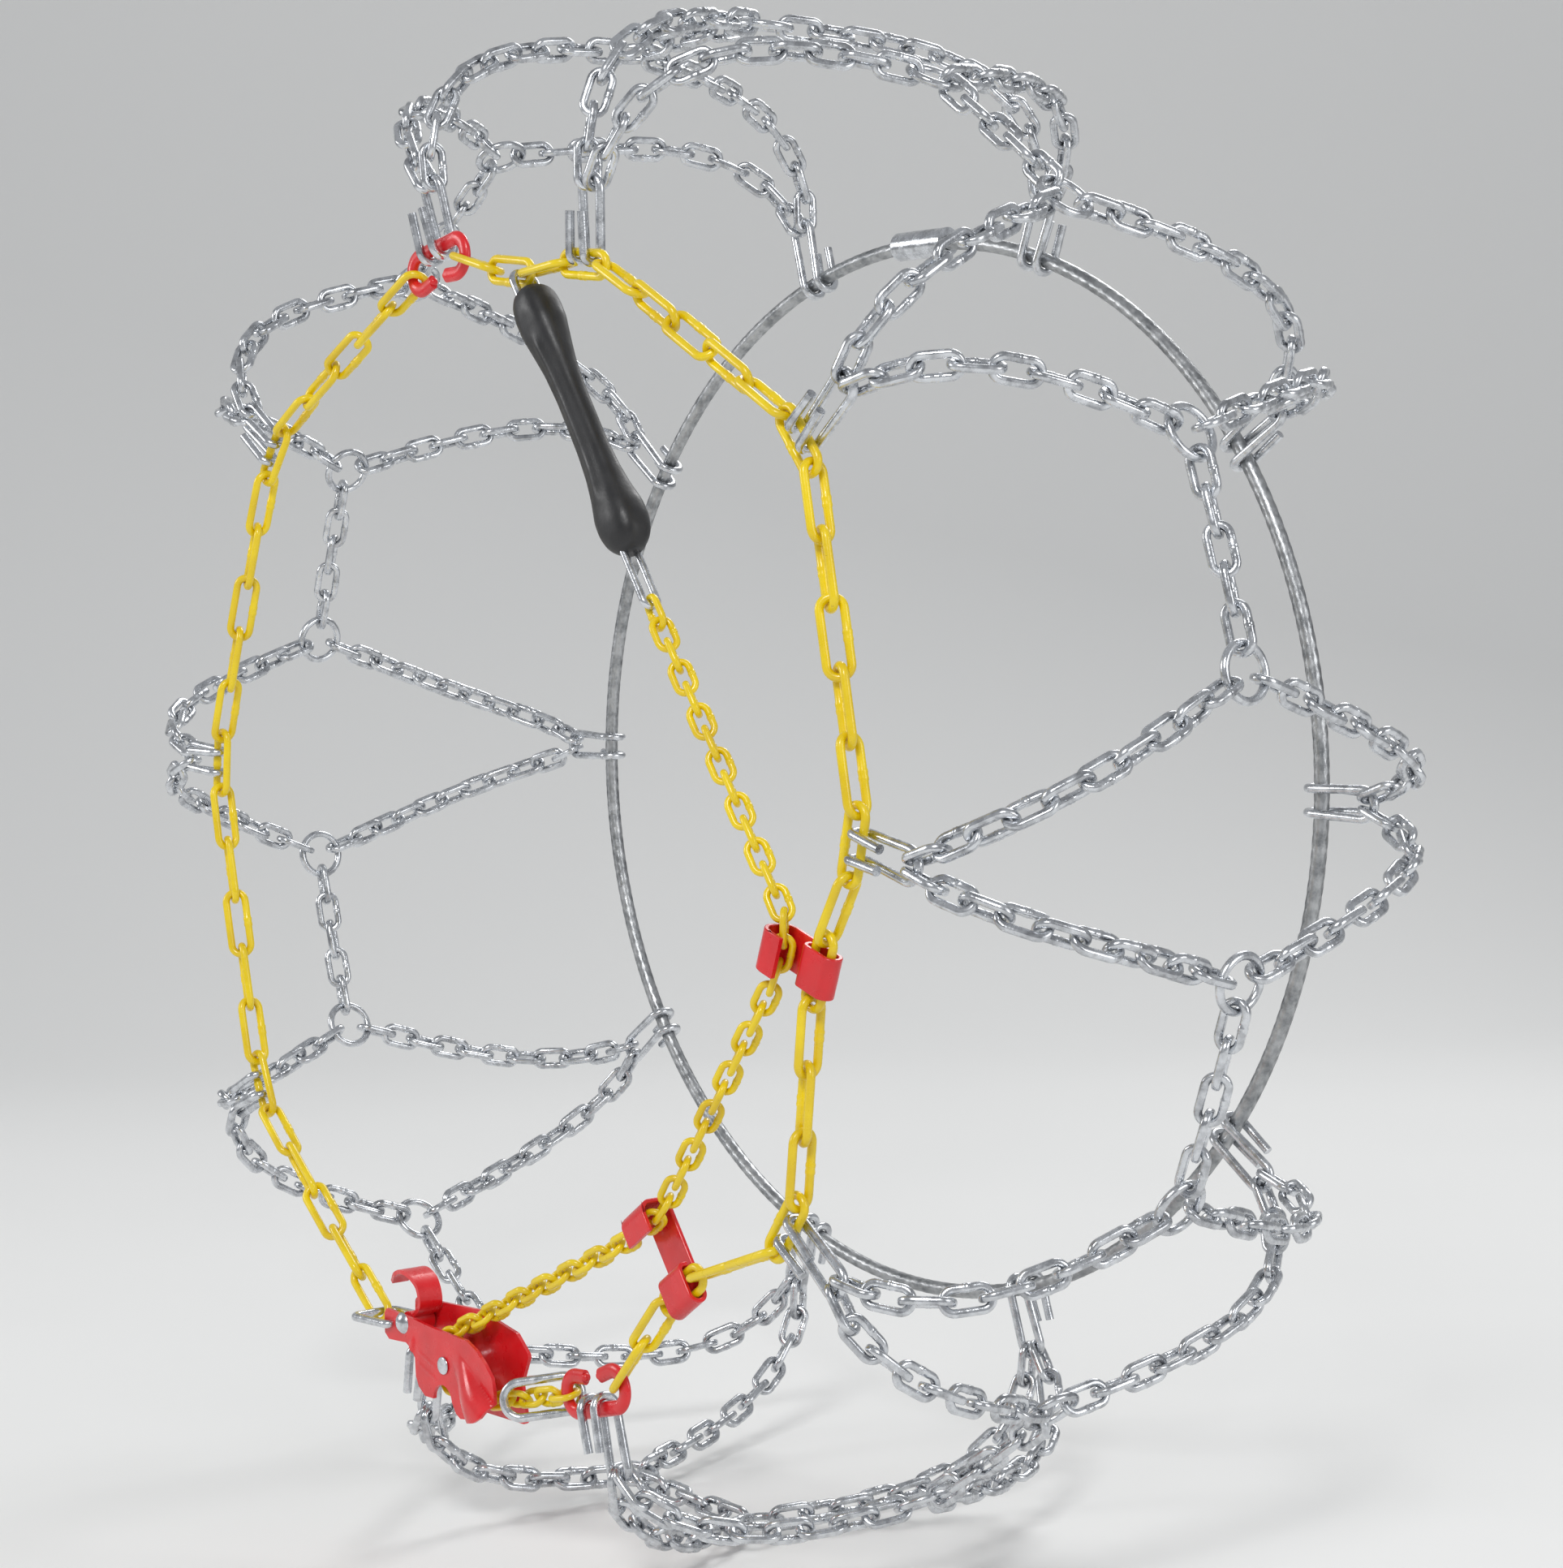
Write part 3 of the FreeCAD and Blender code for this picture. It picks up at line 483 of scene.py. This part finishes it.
def build_lever():
    """Release lever: a hub on the rivet and an arm that rises and curls into a finger tab."""
    path = [
        (-0.0745, -0.2795), (-0.0690, -0.2765), (-0.0640, -0.2715), (-0.0655, -0.2635), (-0.0705, -0.2585),
        (-0.0790, -0.2560), (-0.0870, -0.2580), (-0.0935, -0.2635)]
    widths = [0.0110, 0.0125, 0.0140, 0.0140, 0.0150, 0.0155, 0.0140, 0.0100]
    dense = smooth_path(path, widths, 8)
    last = len(dense) - 1
    points = []
    for k, (x, z, wide) in enumerate(dense):
        ahead = dense[min(last, k + 1)]
        behind = dense[max(0, k - 1)]
        dx = ahead[0] - behind[0]
        dz = ahead[1] - behind[1]
        half = LEVER_SHEET / 2.0 / math.hypot(dx, dz)
        for side, lift in ((-1, -1), (1, -1), (1, 1), (-1, 1)):
            points.append((x - dz * lift * half, LEVER_Y + side * wide / 2.0, z + dx * lift * half))
    faces = tube_faces(len(dense), 4, False)
    faces.append((0, 1, 2, 3))
    faces.append((4 * last + 3, 4 * last + 2, 4 * last + 1, 4 * last))

    base = len(points)
    sides = 40
    for y in HUB_ENDS:
        for k in range(sides):
            a = 2.0 * math.pi * k / sides
            points.append((RIVET[0] + HUB_RADIUS * math.cos(a), y, RIVET[1] + HUB_RADIUS * math.sin(a)))
    for face in tube_faces(2, sides, False):
        faces.append(tuple(base + k for k in face))
    for end in (base, base + sides):
        for k in range(1, sides - 1):
            faces.append((end, end + k, end + k + 1))
    finish_edges(make_shell("tensioner_lever", points, faces), 50.0, 0.0006, 3)


def build_strap():
    """Moulded rubber strap: waisted body, swollen ends and a raised rib down each face."""
    middle, axes, size = frame_of(node_mesh("strap_rubber")[0])
    if axes[0][2] > 0:
        axes = np.array([-axes[0], -axes[1], axes[2]])
    sections = np.array((       # run from the top end, width, thickness
        (0.000, 0.0176, 0.0170), (0.003, 0.0222, 0.0196), (0.010, 0.0248, 0.0208), (0.020, 0.0250, 0.0205),
        (0.032, 0.0220, 0.0170), (0.045, 0.0192, 0.0136), (0.062, 0.0175, 0.0120), (0.094, 0.0180, 0.0120),
        (0.110, 0.0196, 0.0138), (0.122, 0.0220, 0.0170), (0.134, 0.0262, 0.0216), (0.142, 0.0264, 0.0220),
        (0.149, 0.0232, 0.0196), (0.154, 0.0165, 0.0146), (0.156, 0.0110, 0.0100)))
    runs = np.linspace(0.0, STRAP_LENGTH, 120)
    measures = []
    for column in (1, 2):
        values = np.interp(runs, sections[:, 0], sections[:, column])
        for _ in range(3):
            values[1:-1] = (values[:-2] + values[1:-1] * 2.0 + values[2:]) / 4.0
        measures.append(values)
    wide, thick = measures
    sides = 48
    points = []
    for i, run in enumerate(runs):
        along = run / STRAP_LENGTH * size[0] - size[0] / 2.0
        rib = 0.0013 * smooth_step((run - 0.022) / 0.012) * smooth_step((0.132 - run) / 0.012)
        for k in range(sides):
            angle = 2.0 * math.pi * k / sides
            reach = squareness(angle, 2.6)
            y = math.cos(angle) * reach * wide[i] / 2.0
            z = math.sin(angle) * reach * thick[i] / 2.0
            z += math.copysign(rib * math.exp(-(y / 0.0026) ** 2), z)
            points.append(tuple(middle + axes[0] * along + axes[1] * y + axes[2] * z))
    faces = tube_faces(len(runs), sides, False)
    faces.append(tuple(range(sides)))
    faces.append(tuple(range(len(points) - sides, len(points))))
    finish_edges(make_shell("strap_rubber", points, faces), 50.0)


def build_cable():
    """Steel cable hoop laid up from six strands."""
    points, _ = node_mesh("inner_cable")
    high = points.max(axis=0)
    low = points.min(axis=0)
    wire = (high[1] - low[1]) / 2.0
    radius = (high[0] - low[0]) / 2.0 - wire
    middle_y = (high[1] + low[1]) / 2.0
    count = 720
    sides = 36
    turns = 40.0
    rows = []
    for i in range(count):
        a = 2.0 * math.pi * i / count
        for k in range(sides):
            b = 2.0 * math.pi * k / sides
            lay = abs(math.sin(3.0 * (b + a * turns)))
            reach = wire * (0.84 + 0.16 * math.sqrt(lay))
            out = radius + reach * math.cos(b)
            rows.append((out * math.cos(a), middle_y + reach * math.sin(b), out * math.sin(a)))
    make_object("inner_cable_look", rows, tube_faces(count, sides, True), "inner_cable")


# ---------------------------------------------------------------- every piece

special = {
    "tensioner_front_plate": pressed_plate,
    "tensioner_lever": build_lever,
    "strap_rubber": build_strap,
    "inner_cable": build_cable}

for node in sorted(frame["nodes"]):
    if node in special:
        special[node]()
    elif node in YELLOW_LINKS:
        build_links(node, YELLOW_LINKS[node], ROUND_WIRE, 0.14)
    elif node.startswith(("outer_legs", "inner_legs", "tread_chain")):
        build_links(node, CROSS_LINK, SQUARE_WIRE, 0.10)
    elif node.startswith(("chain_guide", "tensioner")) and node != "tensioner_wire_eye":
        copy_node(node, 0.0005)
    else:
        copy_node(node)


# ---------------------------------------------------------------- studio

def studio():
    """Pale floor that turns up into a wall behind the object."""
    low = cad_low[2] - 0.0005
    stage = Shader("pale_floor")
    stage.set("Base Color", (0.86, 0.86, 0.85, 1.0))
    stage.wire("Roughness", stage.grey(stage.noise(3.0), 0.60, 0.70))
    points = []
    steps = 24
    turn = Matrix.Rotation(CAMERA_YAW, 3, "Z")
    for i in range(steps + 3):
        if i == 0:
            y, z = -3.0, 0.0
        elif i == steps + 2:
            y, z = 4.0, 5.0
        else:
            a = math.pi / 2.0 * (i - 1) / steps
            y = 2.0 + 2.0 * math.sin(a)
            z = 2.0 - 2.0 * math.cos(a)
        for x in (-6.0, 6.0):
            p = turn @ Vector((x, y, 0.0))
            points.append((p.x, p.y, low + z))
    faces = [(2 * i, 2 * i + 1, 2 * i + 3, 2 * i + 2) for i in range(steps + 2)]
    floor = make_object("floor", points, faces)
    floor.data.materials.append(stage.material)


def lamp(name, place, target, power, size):
    data = bpy.data.lights.new(name, "AREA")
    data.energy = power
    data.size = size
    obj = bpy.data.objects.new(name, data)
    obj.location = place
    obj.rotation_euler = (Vector(target) - Vector(place)).to_track_quat("-Z", "Y").to_euler()
    bpy.context.scene.collection.objects.link(obj)


studio()
lamp("key", (1.7, -2.2, 2.0), (0.0, -0.1, 0.0), 46.0, 0.8)
lamp("fill", (2.6, 0.6, 0.7), (0.0, 0.0, 0.0), 14.0, 1.2)
lamp("side", (-1.8, -1.9, 0.9), (0.0, 0.0, 0.0), 16.0, 0.9)
lamp("back", (-0.8, 1.8, 1.8), (0.0, 0.0, 0.1), 22.0, 1.0)
world = bpy.data.worlds.new("sky")
world.use_nodes = True
world.node_tree.nodes["Background"].inputs[0].default_value = (0.95, 0.97, 1.0, 1.0)
world.node_tree.nodes["Background"].inputs[1].default_value = 0.42
bpy.context.scene.world = world
bpy.context.scene.view_settings.view_transform = "Standard"

forward = Vector((
    -math.sin(CAMERA_YAW) * math.cos(CAMERA_PITCH),
    math.cos(CAMERA_YAW) * math.cos(CAMERA_PITCH),
    math.sin(CAMERA_PITCH)))
level = Vector((math.cos(CAMERA_YAW), math.sin(CAMERA_YAW), 0.0))
upward = level.cross(forward)
right = level * math.cos(CAMERA_ROLL) + upward * math.sin(CAMERA_ROLL)
top = upward * math.cos(CAMERA_ROLL) - level * math.sin(CAMERA_ROLL)
eye = bpy.data.cameras.new("eye")
eye.lens = CAMERA_LENS
eye.sensor_width = 36.0
camera = bpy.data.objects.new("camera", eye)
camera.matrix_world = Matrix((
    (right.x, top.x, -forward.x, CAMERA_PLACE[0]),
    (right.y, top.y, -forward.y, CAMERA_PLACE[1]),
    (right.z, top.z, -forward.z, CAMERA_PLACE[2]),
    (0.0, 0.0, 0.0, 1.0)))
bpy.context.scene.collection.objects.link(camera)
bpy.context.scene.camera = camera
